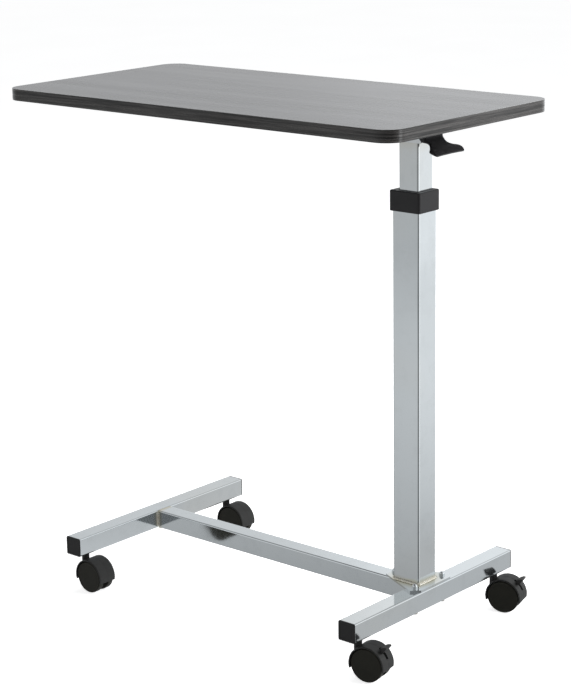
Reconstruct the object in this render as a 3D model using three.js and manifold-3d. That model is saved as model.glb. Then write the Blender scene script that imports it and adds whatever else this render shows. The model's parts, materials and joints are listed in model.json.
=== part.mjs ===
// Overbed table on an H base: a laminate top on a gas-spring column that stands at one end of the base.
// Millimetres, +Z up. The origin is on the floor under the middle of the tabletop. +X runs along the
// tabletop towards the column, and the release lever hangs under the tabletop on the column's +X side.

import * as THREE from 'three';
import { mergeVertices } from 'three/addons/utils/BufferGeometryUtils.js';
import Module from 'manifold-3d';

const wasm = await Module();
wasm.setup();

// ---- driving dimensions ----

// tabletop
const TOP_LENGTH = 760;
const TOP_WIDTH = 380;
const TOP_THICK = 18;
const TOP_CORNER_R = 30;
const TOP_Z = 803;
const BAND_THICK = 1.5;

// base
const TUBE = 30;
const TUBE_WALL = 1.5;
const TUBE_CORNER_R = 2.5;
const TUBE_UNDER_Z = 61.3;
const FOOT_LENGTH = 389;
const LEFT_FOOT_X = -265.5;
const RIGHT_FOOT_X = 299;
const CAP_FLANGE = 2;
const CAP_PLUG = 14;
const STEM_SPIGOT_R = 5;
const PLATE_THICK = 3;
const BOLT_R = 2.5;
const BOLT_HEX_R = 4.6;
const BOLT_HEAD = 8;
const CAP_NUT_HEIGHT = 6.2;
const FOOT_BOLT_Y = 33.5;
const CROSS_BOLT_X = 235.5;

// column
const COLUMN_X = 273;
const INNER_X = 275.5;
const OUTER_X = 48;
const OUTER_Y = 42.5;
const INNER = 35;
const COLUMN_WALL = 1.5;
const COLUMN_CORNER_R = 3;
const OUTER_TOP_Z = 682;
const COLLAR_Z = 656;
const COLLAR_TOP_Z = 686;
const COLLAR_OVER = 3.3;
const COLLAR_SLEEVE = 36;
const INNER_BOTTOM_Z = 190;

// gas spring
const SPRING_R = 11;
const SPRING_BOTTOM_Z = 112;
const SPRING_TOP_Z = 650;
const PISTON_Z = 300;
const ROD_R = 5;
const ROD_TOP_Z = 759;
const ROD_PLATE_Z = 742;
const PIN_R = 2;
const PIN_TOP_Z = 766;

// top frame and lever
const STRAP_THICK = 3;
const STRAP_WIDTH = 25;
const STRAP_LENGTH = 280;
const STRAP_XS = [-200, 215];
const SCREW_Y = 125;
const CHANNEL_START_X = -230;
const CHANNEL_END_X = 300.5;
const CHANNEL_WIDTH = 38.6;
const CHANNEL_WALL = 1.5;
const CHANNEL_DEPTH = 26;
const LEVER_PIVOT_X = 296.5;
const LEVER_PIVOT_Z = 771;
const LEVER_PIN_R = 2.5;
const LEVER_HALF_WIDTH = 22;

// casters
const CASTER_Y = 168;
const CASTER_YAW = { left_front: -1, left_back: 2, right_front: 9, right_back: 14 };
const TRAIL = 21.5;
const WHEEL_R = 25.5;
const WHEEL_IN_Y = 5.2;
const WHEEL_OUT_Y = 15.5;
const HOOD_R = 29;
const HOOD_WALL = 2.3;
const HOOD_HALF_WIDTH = 16.5;
const HOOD_OPEN_Z = -6.5;
const WEB_HALF_WIDTH = 4.6;
const AXLE_R = 2.5;
const PINTLE_R = 3;
const BRAKE_PIVOT_X = 6;
const BRAKE_PIVOT_Z = 12;
const BRAKE_PIN_R = 1.5;
const STEM_BOTTOM_Z = 30;
const STEM_FLANGE = 2;

// gap kept between pieces that fit inside each other
const GAP = 0.3;

// worked out from the above
const TUBE_TOP_Z = TUBE_UNDER_Z + TUBE;
const PLATE_TOP_Z = TUBE_TOP_Z + PLATE_THICK;
const BOARD_Z = TOP_Z - TOP_THICK;
const STRAP_Z = BOARD_Z - STRAP_THICK;
const FOOT_TUBE_LENGTH = FOOT_LENGTH - 2 * CAP_FLANGE;
const BOLTS = [[RIGHT_FOOT_X, FOOT_BOLT_Y], [RIGHT_FOOT_X, -FOOT_BOLT_Y], [CROSS_BOLT_X, 0]];

// ---- materials ----

function finish(color, roughness, metalness) {
  return new THREE.MeshStandardMaterial({ color, roughness, metalness });
}

const chrome = finish(0xcdd2d6, 0.12, 1);
const zinc = finish(0xb4b8ba, 0.35, 1);
const steel = finish(0x9a9ea2, 0.3, 1);
const darkSteel = finish(0x2b2c2e, 0.4, 0.8);
const blackPlastic = finish(0x232325, 0.45, 0);
const hoodPlastic = finish(0x34343a, 0.5, 0);
const wheelPlastic = finish(0x201f1b, 0.5, 0);
const laminate = finish(0x4b4846, 0.35, 0);
const edging = finish(0x37322f, 0.4, 0);

// ---- solids ----

function toSolid(geometry) {
  const bare = geometry.clone();
  bare.deleteAttribute('normal');
  bare.deleteAttribute('uv');
  const merged = mergeVertices(bare);
  const mesh = new wasm.Mesh({
    numProp: 3,
    vertProperties: new Float32Array(merged.attributes.position.array),
    triVerts: new Uint32Array(merged.index.array),
  });
  return new wasm.Manifold(mesh);
}

function toGeometry(solid) {
  const mesh = solid.getMesh();
  const geometry = new THREE.BufferGeometry();
  geometry.setAttribute('position', new THREE.BufferAttribute(mesh.vertProperties, 3));
  geometry.setIndex(new THREE.BufferAttribute(mesh.triVerts, 1));
  geometry.computeVertexNormals();
  return geometry;
}

function join(first, ...others) {
  return toGeometry(others.reduce((solid, other) => solid.add(toSolid(other)), toSolid(first)));
}

function cut(first, ...others) {
  return toGeometry(others.reduce((solid, other) => solid.subtract(toSolid(other)), toSolid(first)));
}

function common(first, second) {
  return toGeometry(toSolid(first).intersect(toSolid(second)));
}

// a block given by its low and high corners
function block(x0, x1, y0, y1, z0, z1) {
  const geometry = new THREE.BoxGeometry(x1 - x0, y1 - y0, z1 - z0);
  return geometry.translate((x0 + x1) / 2, (y0 + y1) / 2, (z0 + z1) / 2);
}

// a round bar standing on z0
function bar(radius, z0, z1, sides = 16) {
  const geometry = new THREE.CylinderGeometry(radius, radius, z1 - z0, sides);
  return geometry.rotateX(Math.PI / 2).translate(0, 0, (z0 + z1) / 2);
}

// a round bar along Y
function crossBar(radius, y0, y1, sides = 16) {
  const geometry = new THREE.CylinderGeometry(radius, radius, y1 - y0, sides);
  return geometry.translate(0, (y0 + y1) / 2, 0);
}

function roundedRect(width, depth, radius) {
  const x = width / 2;
  const y = depth / 2;
  const shape = new THREE.Shape();
  shape.moveTo(x, -y + radius);
  shape.lineTo(x, y - radius);
  shape.absarc(x - radius, y - radius, radius, 0, Math.PI / 2);
  shape.lineTo(-x + radius, y);
  shape.absarc(-x + radius, y - radius, radius, Math.PI / 2, Math.PI);
  shape.lineTo(-x, -y + radius);
  shape.absarc(-x + radius, -y + radius, radius, Math.PI, 1.5 * Math.PI);
  shape.lineTo(x - radius, -y);
  shape.absarc(x - radius, -y + radius, radius, 1.5 * Math.PI, 2 * Math.PI);
  return shape;
}

function extrude(shape, z0, z1, curveSegments = 3) {
  const options = { depth: z1 - z0, bevelEnabled: false, curveSegments };
  return new THREE.ExtrudeGeometry(shape, options).translate(0, 0, z0);
}

// an XZ outline extruded along Y from -halfWidth to +halfWidth
function extrudeSide(shape, halfWidth, curveSegments = 6) {
  return extrude(shape, -halfWidth, halfWidth, curveSegments).rotateX(Math.PI / 2);
}

function boxTube(width, depth, wall, radius, z0, z1) {
  const shape = roundedRect(width, depth, radius);
  shape.holes.push(roundedRect(width - 2 * wall, depth - 2 * wall, Math.max(radius - wall, 0.5)));
  return extrude(shape, z0, z1);
}

function lathe(points, sides = 20) {
  const profile = points.map(([radius, z]) => new THREE.Vector2(radius, z));
  return new THREE.LatheGeometry(profile, sides).rotateX(Math.PI / 2);
}

// ---- the scene graph ----

const group = new THREE.Group();

function place(name, geometry, material, x = 0, y = 0, z = 0, parent = group) {
  const mesh = new THREE.Mesh(geometry, material);
  mesh.name = name;
  mesh.position.set(x, y, z);
  parent.add(mesh);
  return mesh;
}

// ---- base ----

// a foot tube lies along Y; casters push into its underside and two bolts pass through the right one
function footTube(boltYs) {
  const half = TUBE / 2;
  const end = FOOT_TUBE_LENGTH / 2;
  const tube = boxTube(TUBE, TUBE, TUBE_WALL, TUBE_CORNER_R, -end, end).rotateX(Math.PI / 2);
  const stemHole = (y) => bar(STEM_SPIGOT_R + GAP, -half - 1, 0).translate(0, y, 0);
  const boltHole = (y) => bar(BOLT_R + GAP, -half - 1, half + 1, 12).translate(0, y, 0);
  return cut(tube, stemHole(-CASTER_Y), stemHole(CASTER_Y), ...boltYs.map(boltHole));
}

function crossTube(x0, x1) {
  const tube = boxTube(TUBE, TUBE, TUBE_WALL, TUBE_CORNER_R, x0, x1).rotateY(Math.PI / 2);
  const half = TUBE / 2;
  return cut(tube, bar(BOLT_R + GAP, -half - 1, half + 1, 12).translate(CROSS_BOLT_X, 0, 0));
}

// the cap's flange faces +Z here and its hollow plug points down
function endCap() {
  const plug = TUBE - 2 * TUBE_WALL - 2 * GAP;
  const hollowHalf = plug / 2 - 2;
  const recessWidth = TUBE - 7;
  const recessDepth = 0.6;
  const cornerR = 1.5;
  const flange = extrude(roundedRect(TUBE, TUBE, TUBE_CORNER_R), 0, CAP_FLANGE);
  const stub = extrude(roundedRect(plug, plug, cornerR), -CAP_PLUG, 1, 1);
  const hollow = block(-hollowHalf, hollowHalf, -hollowHalf, hollowHalf, -CAP_PLUG - 1, -1);
  const recessShape = roundedRect(recessWidth, recessWidth, cornerR);
  const recess = extrude(recessShape, CAP_FLANGE - recessDepth, CAP_FLANGE + 1, 2);
  return cut(join(flange, stub), hollow, recess);
}

// the plate under the column: wide over the foot tube, with cut corners, and narrow over the cross tube
function basePlate() {
  const wide = 48;
  const narrow = 13.5;
  const cornerCut = 12;
  const length = 84;
  const right = RIGHT_FOOT_X + 14;
  const tip = right - length;
  const shape = new THREE.Shape();
  shape.moveTo(right, -wide + cornerCut);
  shape.lineTo(right, wide - cornerCut);
  shape.lineTo(right - cornerCut, wide);
  shape.lineTo(tip, narrow);
  shape.lineTo(tip, -narrow);
  shape.lineTo(right - cornerCut, -wide);
  const plate = extrude(shape, TUBE_TOP_Z, PLATE_TOP_Z);
  const boltHole = ([x, y]) => bar(BOLT_R + GAP, TUBE_TOP_Z - 1, PLATE_TOP_Z + 1, 12).translate(x, y, 0);
  return cut(plate, ...BOLTS.map(boltHole));
}

// flange bolt pushed up through a tube and the plate; its flange bears on the tube's underside
function flangeBolt() {
  const flangeR = 6;
  const flangeThick = 1.6;
  const bottom = TUBE_UNDER_Z - BOLT_HEAD;
  const head = bar(BOLT_HEX_R, bottom, TUBE_UNDER_Z - flangeThick / 2, 6);
  const flange = bar(flangeR, TUBE_UNDER_Z - flangeThick, TUBE_UNDER_Z, 18);
  const shank = bar(BOLT_R, TUBE_UNDER_Z - flangeThick, PLATE_TOP_Z + CAP_NUT_HEIGHT / 2, 12);
  return join(head, flange, shank);
}

// low cap nut with a domed end and a blind bore
function capNut() {
  const z = PLATE_TOP_Z;
  const half = CAP_NUT_HEIGHT / 2;
  const domeR = 3.8;
  const hex = bar(BOLT_HEX_R, z, z + half, 6);
  const dome = lathe([
    [0, z + 1], [domeR, z + 1], [domeR, z + half + 0.4], [3.2, z + half + 1.8], [1.9, z + half + 2.7],
    [0, z + CAP_NUT_HEIGHT],
  ], 16);
  return cut(join(hex, dome), bar(BOLT_R + GAP, z - 1, z + half + GAP, 12));
}

function addBase() {
  const midZ = TUBE_UNDER_Z + TUBE / 2;
  const gapToFoot = TUBE / 2 + 0.1;
  place('left_foot_tube', footTube([]), chrome, LEFT_FOOT_X, 0, midZ);
  place('right_foot_tube', footTube([-FOOT_BOLT_Y, FOOT_BOLT_Y]), chrome, RIGHT_FOOT_X, 0, midZ);
  place('cross_tube', crossTube(LEFT_FOOT_X + gapToFoot, RIGHT_FOOT_X - gapToFoot), chrome, 0, 0, midZ);
  for (const [side, x] of [['left', LEFT_FOOT_X], ['right', RIGHT_FOOT_X]]) {
    for (const [end, sign] of [['front', -1], ['back', 1]]) {
      const y = sign * FOOT_TUBE_LENGTH / 2;
      const cap = place(`end_cap_${side}_${end}`, endCap(), blackPlastic, x, y, midZ);
      cap.rotation.x = -sign * Math.PI / 2;
    }
  }
  place('base_plate', basePlate(), chrome);
  BOLTS.forEach(([x, y], index) => {
    place(`base_bolt_${index + 1}`, flangeBolt(), zinc, x, y);
    place(`cap_nut_${index + 1}`, capNut(), chrome, x, y);
  });
}

// ---- column ----

function collar() {
  const skirtShape = roundedRect(OUTER_X + 2 * COLLAR_OVER, OUTER_Y + 2 * COLLAR_OVER, 5);
  const pocketShape = roundedRect(OUTER_X + 2 * GAP, OUTER_Y + 2 * GAP, COLUMN_CORNER_R);
  const skirt = extrude(skirtShape, COLLAR_Z, COLLAR_TOP_Z);
  const pocket = extrude(pocketShape, COLLAR_Z - 1, OUTER_TOP_Z + GAP);
  const insideX = OUTER_X - 2 * COLUMN_WALL - 2 * GAP;
  const insideY = OUTER_Y - 2 * COLUMN_WALL - 2 * GAP;
  const sleeveZ = COLLAR_Z - COLLAR_SLEEVE;
  const sleeve = extrude(roundedRect(insideX, insideY, 1.5), sleeveZ, COLLAR_TOP_Z - 1);
  const boreWidth = INNER + 2 * GAP;
  const boreShape = roundedRect(boreWidth, boreWidth, COLUMN_CORNER_R);
  const bore = extrude(boreShape, sleeveZ - 1, COLLAR_TOP_Z + 1).translate(INNER_X - COLUMN_X, 0, 0);
  return cut(join(cut(skirt, pocket), sleeve), bore);
}

// the inner tube's top edge is notched on +X so that the lever's arm reaches the release pin
function innerTube() {
  const top = STRAP_Z - CHANNEL_WALL - 0.5;
  const notchHalf = 7;
  const notchDepth = 18.5;
  const tube = boxTube(INNER, INNER, COLUMN_WALL, COLUMN_CORNER_R, INNER_BOTTOM_Z, top);
  const wallX = INNER / 2;
  const notch = block(wallX - 3, wallX + 3, -notchHalf, notchHalf, top - notchDepth, top + 1);
  return cut(tube, notch);
}

function glideBush() {
  const insideX = OUTER_X - 2 * COLUMN_WALL - 2 * GAP;
  const insideY = OUTER_Y - 2 * COLUMN_WALL - 2 * GAP;
  const height = 42;
  const boreWidth = INNER + 0.4;
  const top = INNER_BOTTOM_Z + height;
  const bush = extrude(roundedRect(insideX, insideY, 1.5), INNER_BOTTOM_Z, top);
  const boreShape = roundedRect(boreWidth, boreWidth, COLUMN_CORNER_R);
  const bore = extrude(boreShape, INNER_BOTTOM_Z - 1, top + 1).translate(INNER_X - COLUMN_X, 0, 0);
  return cut(bush, bore);
}

function addColumn() {
  const outer = boxTube(OUTER_X, OUTER_Y, COLUMN_WALL, COLUMN_CORNER_R, PLATE_TOP_Z, OUTER_TOP_Z);
  place('outer_tube', outer, chrome, COLUMN_X);
  place('collar', collar(), blackPlastic, COLUMN_X);
  place('inner_tube', innerTube(), chrome, INNER_X);
  place('glide_bush', glideBush(), blackPlastic, COLUMN_X);
}

// ---- gas spring, standing inside the inner tube with its rod up ----

function addGasSpring() {
  const wall = 1.5;
  const floor = SPRING_BOTTOM_Z + 6;
  const boreR = SPRING_R - wall;
  const seatR = SPRING_R + 0.4;
  const seatOuterR = 14;
  const seat = [
    [0, PLATE_TOP_Z], [seatOuterR, PLATE_TOP_Z], [seatOuterR, floor],
    [seatR, floor], [seatR, SPRING_BOTTOM_Z], [0, SPRING_BOTTOM_Z],
  ];
  const cylinder = [
    [0, SPRING_BOTTOM_Z], [SPRING_R, SPRING_BOTTOM_Z], [SPRING_R, SPRING_TOP_Z],
    [boreR, SPRING_TOP_Z], [boreR, floor], [0, floor],
  ];
  const guideZ = SPRING_TOP_Z - 12;
  const guide = [
    [ROD_R + GAP, guideZ], [boreR - GAP, guideZ],
    [boreR - GAP, SPRING_TOP_Z], [ROD_R + GAP, SPRING_TOP_Z], [ROD_R + GAP, guideZ],
  ];
  const pinLength = 65;
  const pinBoreR = PIN_R + GAP;
  const pinBoreZ = PIN_TOP_Z - pinLength - 11;
  const rod = [
    [0, PISTON_Z], [ROD_R, PISTON_Z], [ROD_R, ROD_TOP_Z],
    [pinBoreR, ROD_TOP_Z], [pinBoreR, pinBoreZ], [0, pinBoreZ],
  ];
  const rodPlateWidth = INNER - 2 * COLUMN_WALL - 2 * GAP;
  const nutZ = ROD_PLATE_Z + 5;
  const nutR = 9.5;
  const nutTopZ = nutZ + 7;
  const rodPlate = extrude(roundedRect(rodPlateWidth, rodPlateWidth, 1), ROD_PLATE_Z, nutZ, 1);
  const nut = bar(nutR, nutZ, nutTopZ, 6);
  const rodHole = bar(ROD_R + GAP, ROD_PLATE_Z - 1, nutTopZ + 1);
  place('spring_seat', lathe(seat), steel, INNER_X);
  place('gas_spring_cylinder', lathe(cylinder), darkSteel, INNER_X);
  place('gas_spring_guide', lathe(guide), blackPlastic, INNER_X);
  place('gas_spring_piston', bar(boreR - GAP, PISTON_Z - 8, PISTON_Z), blackPlastic, INNER_X);
  place('gas_spring_rod', lathe(rod, 16), steel, INNER_X);
  place('rod_mount_plate', cut(rodPlate, rodHole), steel, INNER_X);
  place('rod_lock_nut', cut(nut, rodHole), zinc, INNER_X);
  place('release_pin', bar(PIN_R, PIN_TOP_Z - pinLength, PIN_TOP_Z, 12), steel, INNER_X);
}

// ---- frame under the tabletop ----

// an inverted U along X: the inner tube's top is welded between its flanges, and the lever's pin
// crosses its +X end
function topChannel() {
  const half = CHANNEL_WIDTH / 2;
  const z0 = STRAP_Z - CHANNEL_DEPTH;
  const outside = block(CHANNEL_START_X, CHANNEL_END_X, -half, half, z0, STRAP_Z);
  const inside = block(
    CHANNEL_START_X - 1, CHANNEL_END_X + 1,
    -half + CHANNEL_WALL, half - CHANNEL_WALL, z0 - 1, STRAP_Z - CHANNEL_WALL,
  );
  const hole = crossBar(LEVER_PIN_R + GAP, -half - 1, half + 1, 12);
  hole.translate(LEVER_PIVOT_X, 0, LEVER_PIVOT_Z);
  const corner = new THREE.Shape();
  corner.moveTo(CHANNEL_END_X - 5, z0 - 1);
  corner.lineTo(CHANNEL_END_X + 1, z0 - 1);
  corner.lineTo(CHANNEL_END_X + 1, z0 + 8);
  return cut(outside, inside, hole, extrudeSide(corner, half + 1));
}

function strap() {
  const flat = extrude(roundedRect(STRAP_WIDTH, STRAP_LENGTH, 4), STRAP_Z, BOARD_Z);
  const holeR = 2.6;
  const hole = (y) => bar(holeR, STRAP_Z - 1, BOARD_Z + 1, 12).translate(0, y, 0);
  return cut(flat, hole(-SCREW_Y), hole(SCREW_Y));
}

// pan-head wood screw driven up through a strap into the board
function woodScrew() {
  const z = STRAP_Z;
  return lathe([
    [0, z - 2.6], [2.6, z - 2.4], [4, z - 1.2], [4, z], [2, z], [2, z + 13], [0, z + 15.5],
  ], 12);
}

function board() {
  const inset = BAND_THICK + 0.1;
  const pilotR = 2.3;
  const pilotDepth = 13.5;
  const shape = roundedRect(TOP_LENGTH - 2 * inset, TOP_WIDTH - 2 * inset, TOP_CORNER_R - inset);
  const holes = [];
  for (const x of STRAP_XS) {
    for (const y of [-SCREW_Y, SCREW_Y]) {
      holes.push(bar(pilotR, BOARD_Z - 1, BOARD_Z + pilotDepth, 12).translate(x, y, 0));
    }
  }
  return cut(extrude(shape, BOARD_Z, TOP_Z, 6), ...holes);
}

function edgeBand() {
  const shape = roundedRect(TOP_LENGTH, TOP_WIDTH, TOP_CORNER_R);
  const inner = roundedRect(
    TOP_LENGTH - 2 * BAND_THICK, TOP_WIDTH - 2 * BAND_THICK, TOP_CORNER_R - BAND_THICK,
  );
  shape.holes.push(inner);
  return extrude(shape, BOARD_Z, TOP_Z, 6);
}

function addTop() {
  place('top_channel', topChannel(), chrome);
  STRAP_XS.forEach((x, index) => {
    const side = ['left', 'right'][index];
    place(`support_strap_${side}`, strap(), darkSteel, x);
    place(`top_screw_${side}_front`, woodScrew(), zinc, x, -SCREW_Y);
    place(`top_screw_${side}_back`, woodScrew(), zinc, x, SCREW_Y);
  });
  place('tabletop_board', board(), laminate);
  place('edge_band', edgeBand(), edging);
}

// ---- release lever, drawn about its pivot ----

// the neck and paddle, seen from the side
function leverSide() {
  const shape = new THREE.Shape();
  shape.moveTo(5.5, 3.5);
  shape.lineTo(5.5, -12.5);
  shape.quadraticCurveTo(11, -13, 15, -15);
  shape.quadraticCurveTo(21, -19.5, 28, -23);
  shape.lineTo(40, -28);
  shape.quadraticCurveTo(43.5, -28, 42, -25);
  shape.quadraticCurveTo(37, -20.5, 31, -19);
  shape.quadraticCurveTo(24, -17.5, 18.5, -13);
  shape.quadraticCurveTo(12.5, -7, 10, 3.5);
  return shape;
}

// the outline from above: wide at the cheeks, a slimmer neck, then a flare into the paddle
function leverPlan() {
  const top = LEVER_HALF_WIDTH;
  const waist = 19.5;
  const paddle = 35;
  const half = [
    [5, top], [11, top], [16, waist], [20, waist + 0.8], [24, 24], [27, 30], [29.5, 33.5],
    [33, paddle], [39, paddle], [42.5, paddle - 2], [44, paddle - 6],
  ];
  const shape = new THREE.Shape();
  half.forEach(([x, y], index) => (index ? shape.lineTo(x, -y) : shape.moveTo(x, -y)));
  half.reverse().forEach(([x, y]) => shape.lineTo(x, y));
  return shape;
}

// a cheek outside each flange carries the pin
function leverCheek() {
  const shape = new THREE.Shape();
  shape.absarc(0, 0, 6, Math.PI / 2, 1.5 * Math.PI);
  shape.lineTo(5.5, -12.5);
  shape.lineTo(11, -13);
  shape.lineTo(9, 3.5);
  return shape;
}

function releaseLever() {
  const sheet = common(extrudeSide(leverSide(), 40, 4), extrude(leverPlan(), -40, 20));
  const cheekIn = CHANNEL_WIDTH / 2 + 0.4;
  const cheekThick = LEVER_HALF_WIDTH - cheekIn;
  const cheekMid = (LEVER_HALF_WIDTH + cheekIn) / 2;
  const cheek = (y) => extrudeSide(leverCheek(), cheekThick / 2).translate(0, y, 0);
  const hubHalf = 6;
  const hubR = 4.5;
  const bridgeHalf = CHANNEL_WIDTH / 2 - CHANNEL_WALL - 0.5;
  const hub = crossBar(hubR, -hubHalf, hubHalf);
  const bridge = block(0, 8, -bridgeHalf, bridgeHalf, -4, 2.5);
  const arm = block(-26, 0, -5.5, 5.5, -4.7, 1.5);
  const bore = crossBar(LEVER_PIN_R + GAP, -30, 30, 12);
  return cut(join(sheet, cheek(-cheekMid), cheek(cheekMid), hub, bridge, arm), bore);
}

function addLever() {
  place('release_lever', releaseLever(), blackPlastic, LEVER_PIVOT_X, 0, LEVER_PIVOT_Z);
  const pin = crossBar(LEVER_PIN_R, -LEVER_HALF_WIDTH - 1, LEVER_HALF_WIDTH + 1, 12);
  place('lever_pin', pin, steel, LEVER_PIVOT_X, 0, LEVER_PIVOT_Z);
}

// ---- casters, drawn with the swivel axis on Z, the floor at z = 0 and the wheel trailing on +X ----

// steel stem: a spigot in the foot tube, a flange under it and a pintle the hood turns on
function casterStem() {
  const flangeR = 8;
  const top = TUBE_UNDER_Z;
  const spigotTop = top + 22;
  return lathe([
    [0, STEM_BOTTOM_Z], [PINTLE_R, STEM_BOTTOM_Z], [PINTLE_R, top - STEM_FLANGE],
    [flangeR, top - STEM_FLANGE], [flangeR, top], [STEM_SPIGOT_R, top],
    [STEM_SPIGOT_R, spigotTop], [STEM_SPIGOT_R - 1, spigotTop + 2], [0, spigotTop + 2],
  ], 16);
}

// the pocket the brake lever swings in, seen from the side and drawn about the wheel's axle
function brakePocket() {
  const shape = new THREE.Shape();
  shape.absarc(BRAKE_PIVOT_X, BRAKE_PIVOT_Z, 5.5, Math.PI * 0.5, Math.PI * 1.72);
  shape.lineTo(34, 11.5);
  shape.lineTo(34, 34);
  shape.lineTo(22, 34);
  return shape;
}

// a drum cover over both wheels, joined by a web between them, with a neck for the pintle
function casterHood(hasBrake) {
  const neckR = 6.5;
  const outside = HOOD_HALF_WIDTH + 4;
  const drum = crossBar(HOOD_R, -HOOD_HALF_WIDTH, HOOD_HALF_WIDTH, 28).translate(TRAIL, 0, WHEEL_R);
  const neck = bar(neckR, WHEEL_R, TUBE_UNDER_Z - STEM_FLANGE - GAP, 16);
  const wells = [-1, 1].map((sign) => {
    const middle = sign * (WEB_HALF_WIDTH + outside) / 2;
    const half = (outside - WEB_HALF_WIDTH) / 2;
    return crossBar(HOOD_R - HOOD_WALL, middle - half, middle + half, 28).translate(TRAIL, 0, WHEEL_R);
  });
  const tilt = -0.05;
  const underside = block(-60, 60, -40, 40, -60, 0).rotateY(tilt);
  underside.translate(TRAIL, 0, WHEEL_R + HOOD_OPEN_Z);
  const cuts = [
    ...wells,
    underside,
    bar(PINTLE_R + GAP, STEM_BOTTOM_Z - GAP, TUBE_UNDER_Z, 12),
    crossBar(AXLE_R + GAP, -10, 10, 12).translate(TRAIL, 0, WHEEL_R),
  ];
  if (hasBrake) {
    const pin = crossBar(BRAKE_PIN_R + GAP, -10, 10, 10);
    const pocketHalf = 2.5;
    cuts.push(extrudeSide(brakePocket(), pocketHalf).translate(TRAIL, 0, WHEEL_R));
    cuts.push(pin.translate(TRAIL + BRAKE_PIVOT_X, 0, WHEEL_R + BRAKE_PIVOT_Z));
  }
  return cut(join(drum, neck), ...cuts);
}

// one wheel of the pair on +Y, drawn about the axle: blind hub, recessed inner side, plain outer face
function wheel() {
  const boreR = AXLE_R + GAP;
  const hubR = 6;
  const rimR = 19.5;
  const chamfer = 0.8;
  const y0 = WHEEL_IN_Y;
  const y1 = WHEEL_OUT_Y;
  const boreEnd = y1 - 1.6;
  const webY = y1 - 3.5;
  const profile = [
    [0, boreEnd], [boreR, boreEnd], [boreR, y0], [hubR, y0], [hubR, webY], [rimR, webY],
    [rimR, y0], [WHEEL_R, y0], [WHEEL_R, y1 - chamfer], [WHEEL_R - chamfer, y1], [0, y1],
  ];
  const points = profile.map(([radius, y]) => new THREE.Vector2(radius, y));
  return new THREE.LatheGeometry(points, 20);
}

// brake lever drawn about its pivot: a thin arm in the hood's slot and a wide toe pad outside the drum
function brakeLever() {
  const arm = new THREE.Shape();
  arm.absarc(0, 0, 4, Math.PI * 0.75, Math.PI * 1.75);
  arm.lineTo(18, 9);
  arm.lineTo(17, 15);
  const pad = new THREE.Shape();
  pad.moveTo(12, 14.5);
  pad.lineTo(17.6, 9.8);
  pad.lineTo(21, 14.5);
  pad.quadraticCurveTo(25, 17.5, 22.5, 19.5);
  pad.quadraticCurveTo(16, 20, 12, 14.5);
  const armHalf = 2.2;
  const padHalf = 8;
  const trunnionHalf = WEB_HALF_WIDTH - 0.2;
  const trunnion = crossBar(BRAKE_PIN_R, -trunnionHalf, trunnionHalf, 10);
  return join(extrudeSide(arm, armHalf, 6), extrudeSide(pad, padHalf, 4), trunnion);
}

function addCaster(name, x, y, hasBrake) {
  const caster = new THREE.Group();
  caster.position.set(x, y, 0);
  caster.rotation.z = THREE.MathUtils.degToRad(CASTER_YAW[name]);
  group.add(caster);
  place(`stem_${name}`, casterStem(), zinc, 0, 0, 0, caster);
  place(`hood_${name}`, casterHood(hasBrake), hoodPlastic, 0, 0, 0, caster);
  const axleHalf = WHEEL_OUT_Y - 2.5;
  place(`axle_${name}`, crossBar(AXLE_R, -axleHalf, axleHalf, 12), steel, TRAIL, 0, WHEEL_R, caster);
  const wheelA = place(`wheel_${name}_a`, wheel(), wheelPlastic, TRAIL, 0, WHEEL_R, caster);
  wheelA.rotation.z = Math.PI;
  place(`wheel_${name}_b`, wheel(), wheelPlastic, TRAIL, 0, WHEEL_R, caster);
  if (hasBrake) {
    place(`brake_lever_${name}`, brakeLever(), hoodPlastic, TRAIL + BRAKE_PIVOT_X, 0,
      WHEEL_R + BRAKE_PIVOT_Z, caster);
  }
}

function addCasters() {
  for (const [end, sign] of [['front', -1], ['back', 1]]) {
    addCaster(`left_${end}`, LEFT_FOOT_X, sign * CASTER_Y, false);
    addCaster(`right_${end}`, RIGHT_FOOT_X, sign * CASTER_Y, true);
  }
}

addBase();
addColumn();
addGasSpring();
addTop();
addLever();
addCasters();

export default group;
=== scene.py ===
"""Overbed table on casters: the visual model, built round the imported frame.

Metres, +Z up, column on +X.
"""

import json
import math
import random

import bmesh
import bpy
from mathutils import Matrix, Vector


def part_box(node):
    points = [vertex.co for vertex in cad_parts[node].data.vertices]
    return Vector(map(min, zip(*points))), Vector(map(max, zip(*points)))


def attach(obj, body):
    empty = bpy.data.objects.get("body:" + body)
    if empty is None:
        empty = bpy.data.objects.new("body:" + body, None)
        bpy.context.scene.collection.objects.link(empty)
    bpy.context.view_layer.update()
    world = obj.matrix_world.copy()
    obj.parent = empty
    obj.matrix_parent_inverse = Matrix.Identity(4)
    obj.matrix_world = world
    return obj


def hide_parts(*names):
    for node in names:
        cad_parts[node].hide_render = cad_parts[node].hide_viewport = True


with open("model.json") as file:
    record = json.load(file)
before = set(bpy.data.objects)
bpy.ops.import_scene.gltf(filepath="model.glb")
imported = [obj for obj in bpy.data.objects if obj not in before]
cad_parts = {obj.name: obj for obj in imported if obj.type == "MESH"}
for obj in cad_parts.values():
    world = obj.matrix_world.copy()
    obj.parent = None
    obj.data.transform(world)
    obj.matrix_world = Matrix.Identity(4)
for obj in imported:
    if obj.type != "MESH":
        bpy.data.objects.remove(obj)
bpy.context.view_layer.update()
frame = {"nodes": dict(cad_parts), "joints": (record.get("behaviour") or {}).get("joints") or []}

MM = 0.001
JOINTS = {joint["name"]: joint for joint in frame["joints"]}
BOARD_GAP = 0.05 * MM
TUBE_WALL = 1.5 * MM
BASE_CORNER = 2.5 * MM
COLUMN_CORNER = 3 * MM
TUBE_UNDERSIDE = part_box("left_foot_tube")[0].z

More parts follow.
